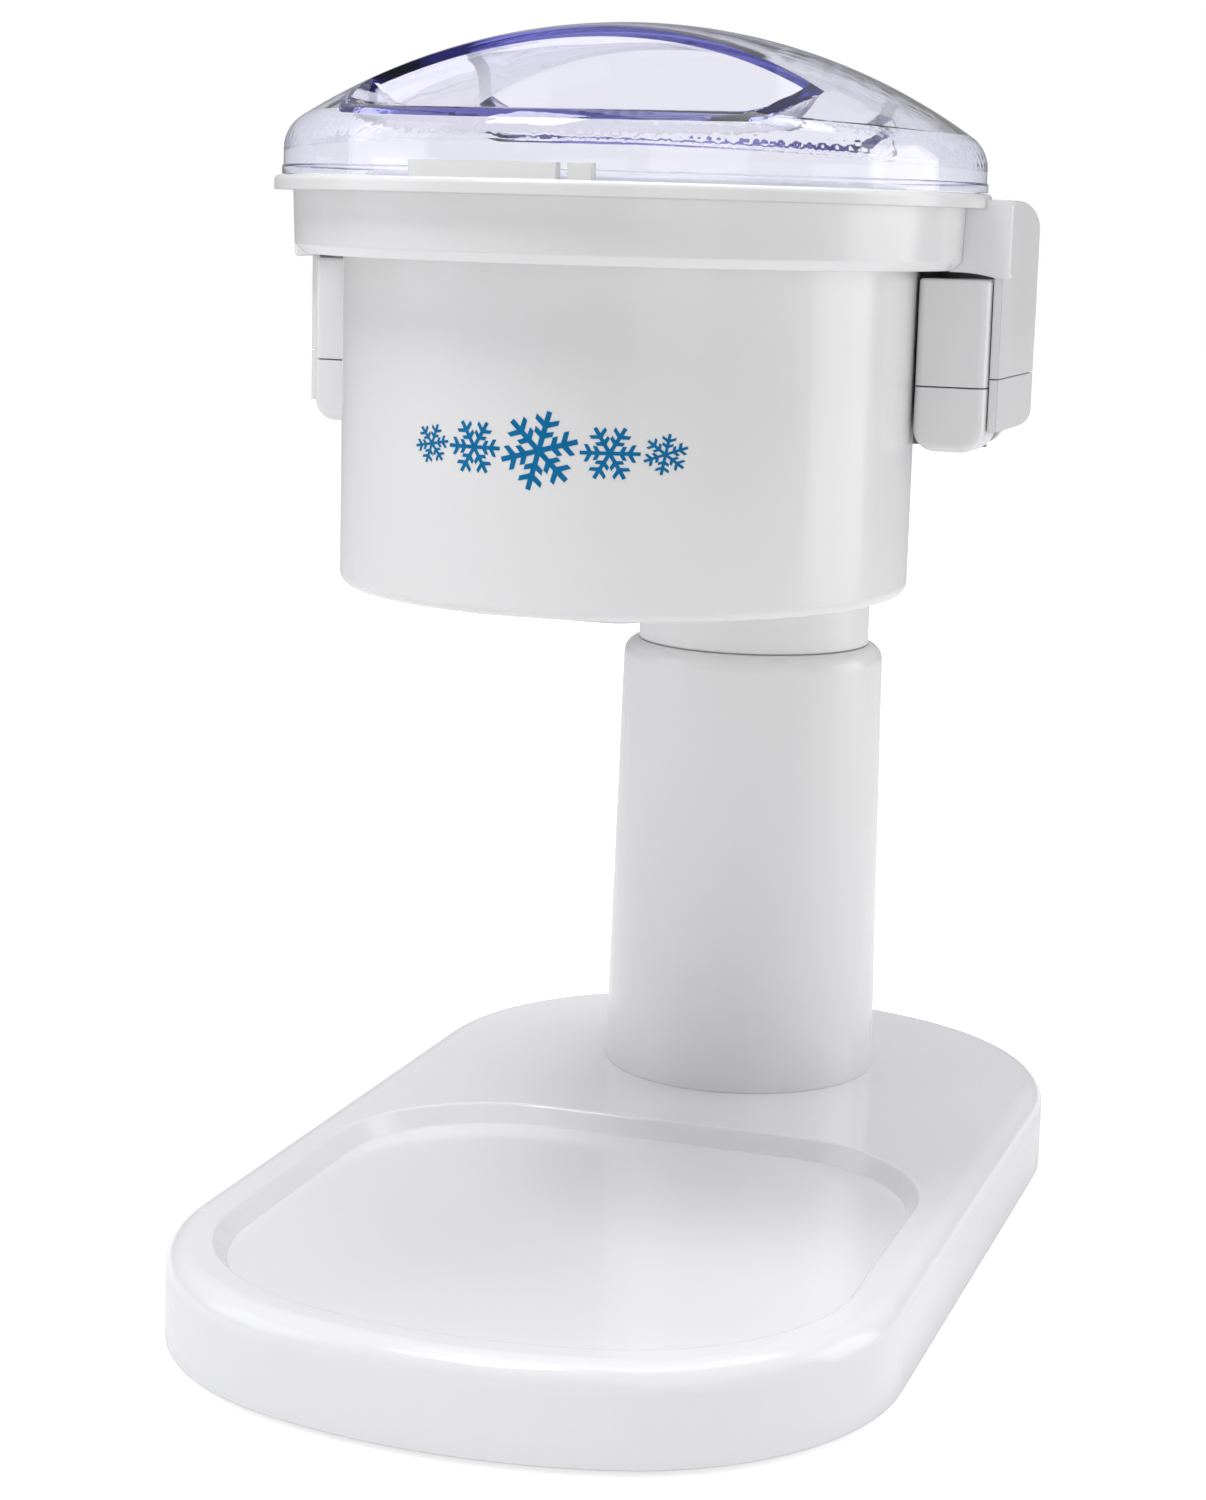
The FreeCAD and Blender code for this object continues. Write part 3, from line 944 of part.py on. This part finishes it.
def main():
    os.makedirs("parts", exist_ok=True)
    save("base_shell", make_base_shell())
    save("base_bottom_cover", make_bottom_cover())
    for name, (x, y) in FEET.items():
        save(name, make_foot(x, y))
    save("base_screws", group([screw_up(x, y, FOOT_H, BASE_SCREW_L) for x, y in BOSSES]))
    save("cord_gland", make_gland())
    save("column_shell", make_column())
    save("column_screws", ring_screws(
        COLUMN_Y, COLUMN_SCREW_RING, CAVITY_TOP - SCREW_HEAD_H, COLUMN_SCREW_L, True))
    save("neck_tube", make_neck())
    save("neck_screws", ring_screws(
        COLUMN_Y, NECK_SCREW_RING, DRUM_Z0 + WALL + SCREW_HEAD_H, NECK_SCREW_L, False))

    save("motor_can", make_motor_can())
    save("motor_end_cap", make_motor_end_cap())
    save("motor_stator", make_motor_stator())
    save("motor_rotor", make_motor_rotor())
    save("motor_bearing_lower", make_motor_bearing(LOWER_BEARING_Z))
    save("motor_bearing_upper", make_motor_bearing(UPPER_BEARING_Z))
    save("motor_bracket", make_motor_bracket())
    spots = [polar(0, COLUMN_Y, MOTOR_SCREW_RING, angle) for angle in COLUMN_SCREWS[:2]]
    head = BRACKET_TOP + SCREW_HEAD_H
    save("motor_screws", group([screw_down(x, y, head, MOTOR_SCREW_L) for x, y in spots]))
    save("motor_pulley", make_pulley(MOTOR_TEETH, COLUMN_Y, SHAFT_R))
    save("drive_belt", make_belt())
    save("spindle_pulley", make_pulley(SPINDLE_TEETH, HEAD_Y, SPINDLE_R))
    save("drive_spindle", make_spindle())
    save("spindle_bearing_lower", make_spindle_bearing(SPINDLE_Z0))
    save("spindle_bearing_upper", make_spindle_bearing(CARRIER_BEARING_Z))
    save("bearing_carrier", make_bearing_carrier())
    save("carrier_screws", ring_screws(
        HEAD_Y, CARRIER_SCREW_RING, CARRIER_FLANGE_Z - SCREW_HEAD_H, CARRIER_SCREW_L, True))

    save("blade_plate", make_blade_plate())
    save("shaver_blade", make_blade())
    save("blade_screws", make_blade_screws())
    save("ice_paddle", make_paddle())
    save("paddle_nut", make_paddle_nut())
    save("hopper_cup", make_hopper())
    save("ice_chute", make_chute())

    save("drum_shell", make_drum())
    save("top_collar", make_collar())
    keeper = make_keeper()
    sides = {"right": keeper, "left": mirror_x(keeper)}
    for side, shape in sides.items():
        save("keeper_" + side, shape)
    makers = {"latch_arm": make_latch_arm, "latch_cap": make_latch_cap,
              "latch_bracket": make_latch_bracket, "latch_pin": make_latch_pin}
    for name, maker in makers.items():
        shape = maker()
        save(name + "_right", shape)
        save(name + "_left", mirror_x(shape))
    save("clear_lid", make_lid())

    save("interlock_switch", make_interlock_body())
    save("interlock_plunger", make_interlock_plunger())
    save("rocker_switch_body", make_switch_body())
    save("rocker_button", make_rocker())


main()
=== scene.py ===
import json
import math
import bmesh
import bpy
from mathutils import Matrix, Vector
from mathutils.geometry import tessellate_polygon


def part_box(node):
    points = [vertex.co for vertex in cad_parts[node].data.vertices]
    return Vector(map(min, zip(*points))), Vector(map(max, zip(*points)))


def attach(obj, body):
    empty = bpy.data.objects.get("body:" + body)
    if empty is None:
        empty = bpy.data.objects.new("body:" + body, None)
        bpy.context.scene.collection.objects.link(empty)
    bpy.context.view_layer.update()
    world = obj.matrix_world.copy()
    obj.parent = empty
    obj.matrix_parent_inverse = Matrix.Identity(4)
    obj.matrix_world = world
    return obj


# Looks of the shaved ice machine: glossy white mouldings, a clear lid with a violet tint, a printed
# row of snowflakes on the drum, and the metal, rubber and black plastic parts inside and behind.
# Metres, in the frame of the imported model: +Z up, the front faces -Y.

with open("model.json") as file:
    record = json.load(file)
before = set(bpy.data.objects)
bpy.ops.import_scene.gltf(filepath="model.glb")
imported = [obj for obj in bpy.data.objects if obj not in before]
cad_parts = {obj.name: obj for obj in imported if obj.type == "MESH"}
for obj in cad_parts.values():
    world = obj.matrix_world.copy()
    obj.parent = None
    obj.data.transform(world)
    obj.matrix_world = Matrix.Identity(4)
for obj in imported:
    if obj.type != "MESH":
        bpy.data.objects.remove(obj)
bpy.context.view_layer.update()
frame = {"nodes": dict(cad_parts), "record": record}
MM = 0.001

HEAD_Y = sum(corner.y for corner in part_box("hopper_cup")) / 2    # upright axis of the head


# ---- materials ----------------------------------------------------------------------------------
BEVEL_SAMPLES = 4
EDGE_RADIUS = 0.6 * MM    # how far the shell's edges look rounded
TINT_DENSITY = 45.0       # of the violet in the clear lid, per metre


class Look:
    """A Principled material, with helpers for the procedural detail that feeds it."""

    def __init__(self, name):
        self.material = bpy.data.materials.new(name)
        self.material.use_nodes = True
        self.tree = self.material.node_tree
        self.shader = self.tree.nodes["Principled BSDF"]
        self.output = self.tree.nodes["Material Output"]
        self.coords = self.tree.nodes.new("ShaderNodeTexCoord").outputs["Object"]

    def set(self, **values):
        for key, value in values.items():
            self.shader.inputs[key.replace("_", " ")].default_value = value
        return self

    def link(self, source, target):
        self.tree.links.new(source, target)

    def stretched(self, scale):
        """Object coordinates, scaled on each axis."""
        mapping = self.tree.nodes.new("ShaderNodeMapping")
        mapping.inputs["Scale"].default_value = scale
        self.link(self.coords, mapping.inputs["Vector"])
        return mapping.outputs["Vector"]

    def noise(self, scale, detail=4.0, vector=None):
        node = self.tree.nodes.new("ShaderNodeTexNoise")
        node.inputs["Scale"].default_value = scale
        node.inputs["Detail"].default_value = detail
        self.link(vector or self.coords, node.inputs["Vector"])
        return node.outputs["Fac"]

    def ramp(self, source, low, high, start=0.35, end=0.65):
        """Colours or grey values between two ends of a 0 to 1 source."""
        node = self.tree.nodes.new("ShaderNodeValToRGB")
        first, last = node.color_ramp.elements
        first.position, last.position = start, end
        first.color, last.color = low, high
        self.link(source, node.inputs["Fac"])
        return node.outputs["Color"]

    def colour(self, source, low, high):
        self.link(self.ramp(source, (*low, 1), (*high, 1)), self.shader.inputs["Base Color"])
        return self

    def roughness(self, source, low, high):
        self.link(self.ramp(source, (low,) * 3 + (1,), (high,) * 3 + (1,)), self.shader.inputs["Roughness"])
        return self

    def soft_edges(self, radius):
        """Normals rounded over a radius at each edge."""
        node = self.tree.nodes.new("ShaderNodeBevel")
        node.samples = BEVEL_SAMPLES
        node.inputs["Radius"].default_value = radius
        return node.outputs["Normal"]

    def bump(self, source, strength, distance, normal=None):
        node = self.tree.nodes.new("ShaderNodeBump")
        if normal:
            self.link(normal, node.inputs["Normal"])
        node.inputs["Strength"].default_value = strength
        node.inputs["Distance"].default_value = distance
        self.link(source, node.inputs["Height"])
        self.link(node.outputs["Normal"], self.shader.inputs["Normal"])
        return self


def moulded(name, low, high, rough=(0.20, 0.24)):
    """Glossy injection-moulded plastic with softened edges and a very shallow ripple in the gloss."""
    look = Look(name)
    look.set(IOR=1.52, Coat_Weight=0.25, Coat_Roughness=0.08)
    look.colour(look.noise(9.0, 1.0), low, high)
    look.roughness(look.noise(40.0, 2.0), *rough)
    look.bump(look.noise(60.0, 1.0), 0.03, 0.0004, look.soft_edges(EDGE_RADIUS))
    return look.material


def matt_plastic(name, low, high, rough=(0.45, 0.6)):
    """Fine spark-eroded grain."""
    look = Look(name)
    look.colour(look.noise(30.0), low, high)
    look.roughness(look.noise(180.0), *rough)
    look.bump(look.noise(1600.0, 3.0), 0.25, 0.0002)
    return look.material


def brushed_metal(name, low, high, scale=(12.0, 900.0, 12.0), rough=(0.22, 0.38)):
    """Fine scratches that run along X."""
    look = Look(name)
    look.set(Metallic=1.0)
    streaks = look.noise(1.0, 6.0, look.stretched(scale))
    look.colour(streaks, low, high)
    look.roughness(streaks, *rough)
    look.bump(streaks, 0.12, 0.0001)
    return look.material


def cast_metal(name, low, high, rough=(0.35, 0.5)):
    """Satin casting with a slight orange-peel skin."""
    look = Look(name)
    look.set(Metallic=1.0)
    look.colour(look.noise(40.0), low, high)
    look.roughness(look.noise(220.0), *rough)
    look.bump(look.noise(700.0, 3.0), 0.2, 0.0002)
    return look.material


def laminated_steel(name):
    """Stacked sheets: fine level lines."""
    look = Look(name)
    look.set(Metallic=0.9)
    stack = look.noise(1.0, 2.0, look.stretched((2.0, 2.0, 2600.0)))
    look.colour(stack, (0.16, 0.155, 0.15), (0.34, 0.33, 0.32))
    look.roughness(stack, 0.35, 0.6)
    look.bump(stack, 0.5, 0.0003)
    return look.material


def rubber(name, low, high):
    """Matt black rubber with a fine grain."""
    look = Look(name)
    look.set(Sheen_Weight=0.15, Sheen_Roughness=0.5)
    look.colour(look.noise(60.0), low, high)
    look.roughness(look.noise(300.0), 0.6, 0.8)
    look.bump(look.noise(2200.0, 2.0), 0.3, 0.0002)
    return look.material


def clear_plastic(name):
    """Clear, with a violet tint that only shows where the light runs a long way through the wall."""
    look = Look(name)
    look.set(Base_Color=(0.972, 0.970, 0.985, 1), Transmission_Weight=1.0, IOR=1.50)
    look.roughness(look.noise(50.0), 0.01, 0.03)
    look.bump(look.noise(30.0, 1.0), 0.02, 0.0004)
    tint = look.tree.nodes.new("ShaderNodeVolumeAbsorption")
    tint.inputs["Color"].default_value = (0.38, 0.38, 0.76, 1)
    tint.inputs["Density"].default_value = TINT_DENSITY
    look.link(tint.outputs["Volume"], look.output.inputs["Volume"])
    return look.material


def printed_ink(name):
    """Pad-printed blue, a little uneven."""
    look = Look(name)
    look.set(IOR=1.5, Specular_IOR_Level=0.15)
    look.colour(look.noise(400.0), (0.000, 0.140, 0.330), (0.001, 0.165, 0.375))
    look.roughness(look.noise(500.0), 0.32, 0.42)
    look.bump(look.noise(1500.0), 0.1, 0.00005)
    return look.material


LOOKS = {
    "white_shell": moulded("white_shell", (0.815, 0.812, 0.808), (0.825, 0.825, 0.825)),
    "white_base": moulded("white_base", (0.845, 0.845, 0.870), (0.855, 0.855, 0.880), (0.14, 0.18)),
    "hopper_white": moulded("hopper_white", (0.795, 0.81, 0.84), (0.805, 0.82, 0.85), (0.25, 0.30)),
    "lid_clear": clear_plastic("lid_clear"),
    "inner_grey": matt_plastic("inner_grey", (0.16, 0.165, 0.175), (0.20, 0.205, 0.215)),
    "black_plastic": matt_plastic("black_plastic", (0.010, 0.010, 0.012), (0.020, 0.020, 0.022),
                                  (0.3, 0.42)),
    "stainless": brushed_metal("stainless", (0.50, 0.51, 0.52), (0.66, 0.67, 0.68)),
    "blade_steel": brushed_metal("blade_steel", (0.62, 0.63, 0.64), (0.78, 0.79, 0.80), rough=(0.12, 0.22)),
    "screw_steel": cast_metal("screw_steel", (0.42, 0.42, 0.43), (0.56, 0.56, 0.57), (0.25, 0.4)),
    "motor_paint": matt_plastic("motor_paint", (0.035, 0.038, 0.045), (0.050, 0.053, 0.060), (0.35, 0.5)),
    "laminations": laminated_steel("laminations"),
    "bearing_brass": cast_metal("bearing_brass", (0.50, 0.34, 0.12), (0.66, 0.46, 0.19), (0.25, 0.4)),
    "belt_rubber": rubber("belt_rubber", (0.010, 0.010, 0.010), (0.020, 0.020, 0.020)),
    "foot_rubber": rubber("foot_rubber", (0.022, 0.022, 0.024), (0.035, 0.035, 0.037)),
    "paddle_cast": cast_metal("paddle_cast", (0.52, 0.53, 0.54), (0.64, 0.65, 0.66)),
}
INK = printed_ink("print_blue")


def dress(piece, material):
    """Gives a piece one material all over."""
    piece.data.materials.clear()
    piece.data.materials.append(material)


def dress_cad_nodes():
    """Gives each node of the model the look of its slot in the record."""
    slots = {part["node"]: part["material_slot"] for part in frame["record"]["subparts"]}
    for node, piece in frame["nodes"].items():
        dress(piece, LOOKS[slots[node]])


# ---- pieces -------------------------------------------------------------------------------------
PRINT_HEIGHT = 0.48       # of the drum's height, to the middle of the row
PRINT_FILM, PRINT_SINK = 0.10 * MM, 0.05 * MM    # how far the ink stands proud, and how deep it starts
PRINT_STRIP = 1.2 * MM    # the flakes are cut into strips this wide, so that they follow the drum
# The snowflakes from left to right: place and radius in mm, and turn in degrees
FLAKES = [(-23.4, 4.6, 10), (-12.0, 6.4, 0), (3.6, 9.0, 15), (19.2, 6.4, 0), (30.6, 4.6, 20)]
# A snowflake's arms, as parts of its radius: half an arm's width, and each twig's start and length
ARM_HALF = 0.065
TWIGS = [(0.33, 0.20), (0.60, 0.27)]
ARMS = 6
ARM_ANGLE = math.radians(360 / ARMS)
SAME_POINT = 1e-7


def new_piece(name, mesh, material, body):
    """A piece that rides on a body of the model."""
    obj = bpy.data.objects.new(name, mesh)
    bpy.context.scene.collection.objects.link(obj)
    dress(obj, material)
    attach(obj, body)
    return obj


def snowflake_outline(cx, cz, radius, turn=0.0):
    """Six arms with two pairs of twigs each, as one closed outline in the XZ plane."""
    half = ARM_HALF * radius
    side = [(2 * half * math.cos(ARM_ANGLE / 2), half)]
    for start, length in TWIGS:
        foot, reach = start * radius, length * radius
        tip_x, tip_z = foot + reach * math.cos(ARM_ANGLE), half + reach * math.sin(ARM_ANGLE)
        side += [(foot, half), (tip_x, tip_z), (tip_x + 2 * half, tip_z),
                 (foot + 2 * half / math.sin(ARM_ANGLE), half)]
    side.append((radius, half))
    arm = [(x, -z) for x, z in side] + [(x, z) for x, z in reversed(side)]
    points = []
    for k in range(ARMS):
        angle = turn + ARM_ANGLE * k
        c, s = math.cos(angle), math.sin(angle)
        points += [(cx + x * c - z * s, cz + x * s + z * c) for x, z in arm[:-1]]
    return points


def make_print():
    """A row of snowflakes printed on the drum's front."""
    low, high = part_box("drum_shell")
    mid_z = low.z + PRINT_HEIGHT * (high.z - low.z)
    half_width, depth = (high.x - low.x) / 2, HEAD_Y - low.y
    bm = bmesh.new()
    for x, radius, turn in FLAKES:
        outline = snowflake_outline(x * MM, mid_z, radius * MM, math.radians(turn))
        corners = [bm.verts.new((px, 0, pz)) for px, pz in outline]
        for a, b, c in tessellate_polygon([[v.co for v in corners]]):
            bm.faces.new((corners[a], corners[b], corners[c]))
    left = min(v.co.x for v in bm.verts)
    right = max(v.co.x for v in bm.verts)
    for k in range(1, int((right - left) / PRINT_STRIP) + 1):
        bmesh.ops.bisect_plane(bm, geom=bm.verts[:] + bm.edges[:] + bm.faces[:], dist=SAME_POINT,
                               plane_co=(left + k * PRINT_STRIP, 0, 0), plane_no=(1, 0, 0))
    flat = bm.faces[:]
    bmesh.ops.recalc_face_normals(bm, faces=flat)
    back = bmesh.ops.extrude_face_region(bm, geom=flat)
    for v in [g for g in back["geom"] if isinstance(g, bmesh.types.BMVert)]:
        v.co.y = PRINT_FILM + PRINT_SINK
    for v in bm.verts:
        v.co.y += HEAD_Y - depth * math.sqrt(1 - (v.co.x / half_width) ** 2) - PRINT_FILM
    bmesh.ops.recalc_face_normals(bm, faces=bm.faces[:])
    mesh = bpy.data.meshes.new("drum_print")
    bm.to_mesh(mesh)
    bm.free()
    return new_piece("drum_print", mesh, INK, "frame")


# ---- studio -------------------------------------------------------------------------------------
CLEAR_BOUNCES = 24    # light runs a long way inside the clear lid before it leaves it

# Camera: where it stands, which way it looks, and its lens and sensor width in mm
EYE = Vector((0.2237, -0.7363, 0.2705))
AZIMUTH, DOWN, ROLL = math.radians(18.04), math.radians(10.29), math.radians(1.59)
LENS, SENSOR = 71.74, 36.0
CLIP_START = 0.01

# Soft boxes: place, what they aim at, width and height, watts, colour
WHITE = (1, 1, 1)
LIGHTS = {
    "key": ((-0.35, -0.66, 1.5), (0, -0.10, 0.20), (0.5, 0.5), 9.0, WHITE),
    "left": ((-1.1, -0.5, 0.6), (0, -0.03, 0.16), (0.8, 0.8), 2.2, (0.97, 0.98, 1.0)),
    "right": ((1.25, 0.55, 0.45), (0, 0, 0.15), (0.8, 1.0), 4.2, WHITE),
    "fill": ((0.9, -1.1, 0.5), (0, 0, 0.15), (0.8, 0.8), 1.3, WHITE),
    "top": ((0.1, 0.2, 1.45), (0, 0, 0.1), (1.1, 1.1), 9.0, WHITE),
}

# The sky that lights the object: colour level with it and overhead, where that is reached, strength
SKY_LEVEL, SKY_ABOVE = (0.50, 0.50, 0.51, 1), (0.80, 0.80, 0.83, 1)
SKY_ABOVE_AT, SKY_STRENGTH = 0.9, 0.65

FLOOR_HALF = 6.0
FLOOR_GLOW = 0.7          # lifts the floor to white where it is seen


def make_camera():
    """Camera that stands right of the front and looks slightly down."""
    camera = bpy.data.objects.new("camera", bpy.data.cameras.new("camera"))
    bpy.context.scene.collection.objects.link(camera)
    camera.data.lens = LENS
    camera.data.sensor_width = SENSOR
    camera.data.clip_start = CLIP_START
    forward = Vector((-math.sin(AZIMUTH) * math.cos(DOWN), math.cos(AZIMUTH) * math.cos(DOWN),
                      -math.sin(DOWN)))
    level = Vector((math.cos(AZIMUTH), math.sin(AZIMUTH), 0))
    above = level.cross(forward)
    right = level * math.cos(ROLL) + above * math.sin(ROLL)
    up = above * math.cos(ROLL) - level * math.sin(ROLL)
    turn = Matrix((right, up, -forward)).transposed()
    camera.matrix_world = Matrix.Translation(EYE) @ turn.to_4x4()
    bpy.context.scene.camera = camera


def make_light(name, spot, aim, size, watts, colour):
    """Rectangular soft box."""
    data = bpy.data.lights.new(name, "AREA")
    data.shape = "RECTANGLE"
    data.size, data.size_y = size
    data.energy = watts
    data.color = colour
    lamp = bpy.data.objects.new(name, data)
    bpy.context.scene.collection.objects.link(lamp)
    lamp.location = spot
    lamp.rotation_euler = (Vector(aim) - Vector(spot)).to_track_quat("-Z", "Y").to_euler()


def seen_directly(tree):
    """1 where the eye sees a surface, straight or through the clear lid, and 0 for all other light."""
    path, seen = tree.nodes.new("ShaderNodeLightPath"), tree.nodes.new("ShaderNodeMath")
    seen.operation = "MAXIMUM"
    tree.links.new(path.outputs["Is Camera Ray"], seen.inputs[0])
    tree.links.new(path.outputs["Is Transmission Ray"], seen.inputs[1])
    return seen.outputs["Value"]


def make_world():
    """White to the eye, and a softer grey sky to the object, brightest overhead."""
    world = bpy.data.worlds.new("studio")
    bpy.context.scene.world = world
    world.use_nodes = True
    tree = world.node_tree
    tree.nodes.clear()
    coords = tree.nodes.new("ShaderNodeTexCoord")
    split = tree.nodes.new("ShaderNodeSeparateXYZ")
    ramp = tree.nodes.new("ShaderNodeValToRGB")
    level, above = ramp.color_ramp.elements
    level.color, above.color = SKY_LEVEL, SKY_ABOVE
    level.position, above.position = 0.0, SKY_ABOVE_AT
    sky, white, mix = (tree.nodes.new(kind) for kind in (
        "ShaderNodeBackground", "ShaderNodeBackground", "ShaderNodeMixShader"))
    output = tree.nodes.new("ShaderNodeOutputWorld")
    sky.inputs["Strength"].default_value = SKY_STRENGTH
    white.inputs["Color"].default_value = (1, 1, 1, 1)
    tree.links.new(coords.outputs["Generated"], split.inputs["Vector"])
    tree.links.new(split.outputs["Z"], ramp.inputs["Fac"])
    tree.links.new(ramp.outputs["Color"], sky.inputs["Color"])
    tree.links.new(seen_directly(tree), mix.inputs["Fac"])
    tree.links.new(sky.outputs["Background"], mix.inputs[1])
    tree.links.new(white.outputs["Background"], mix.inputs[2])
    tree.links.new(mix.outputs["Shader"], output.inputs["Surface"])


def make_floor():
    """Wide pale floor."""
    bm = bmesh.new()
    bmesh.ops.create_grid(bm, x_segments=1, y_segments=1, size=FLOOR_HALF)
    mesh = bpy.data.meshes.new("floor")
    bm.to_mesh(mesh)
    bm.free()
    floor = bpy.data.objects.new("floor", mesh)
    bpy.context.scene.collection.objects.link(floor)
    look = Look("floor")
    look.set(Roughness=0.9, Emission_Color=(1, 1, 1, 1))
    look.colour(look.noise(3.0), (0.88, 0.88, 0.88), (0.90, 0.90, 0.90))
    glow = look.tree.nodes.new("ShaderNodeMath")
    glow.operation = "MULTIPLY"
    look.link(seen_directly(look.tree), glow.inputs[0])
    glow.inputs[1].default_value = FLOOR_GLOW
    look.link(glow.outputs["Value"], look.shader.inputs["Emission Strength"])
    dress(floor, look.material)


def make_studio():
    """Camera, white surroundings and soft boxes."""
    make_camera()
    make_world()
    make_floor()
    for name, (spot, aim, size, watts, colour) in LIGHTS.items():
        make_light(name, spot, aim, size, watts, colour)
    bpy.context.scene.view_settings.view_transform = "Standard"
    paths = bpy.context.scene.cycles
    paths.max_bounces = paths.glossy_bounces = paths.transmission_bounces = CLEAR_BOUNCES


dress_cad_nodes()
make_print()
make_studio()
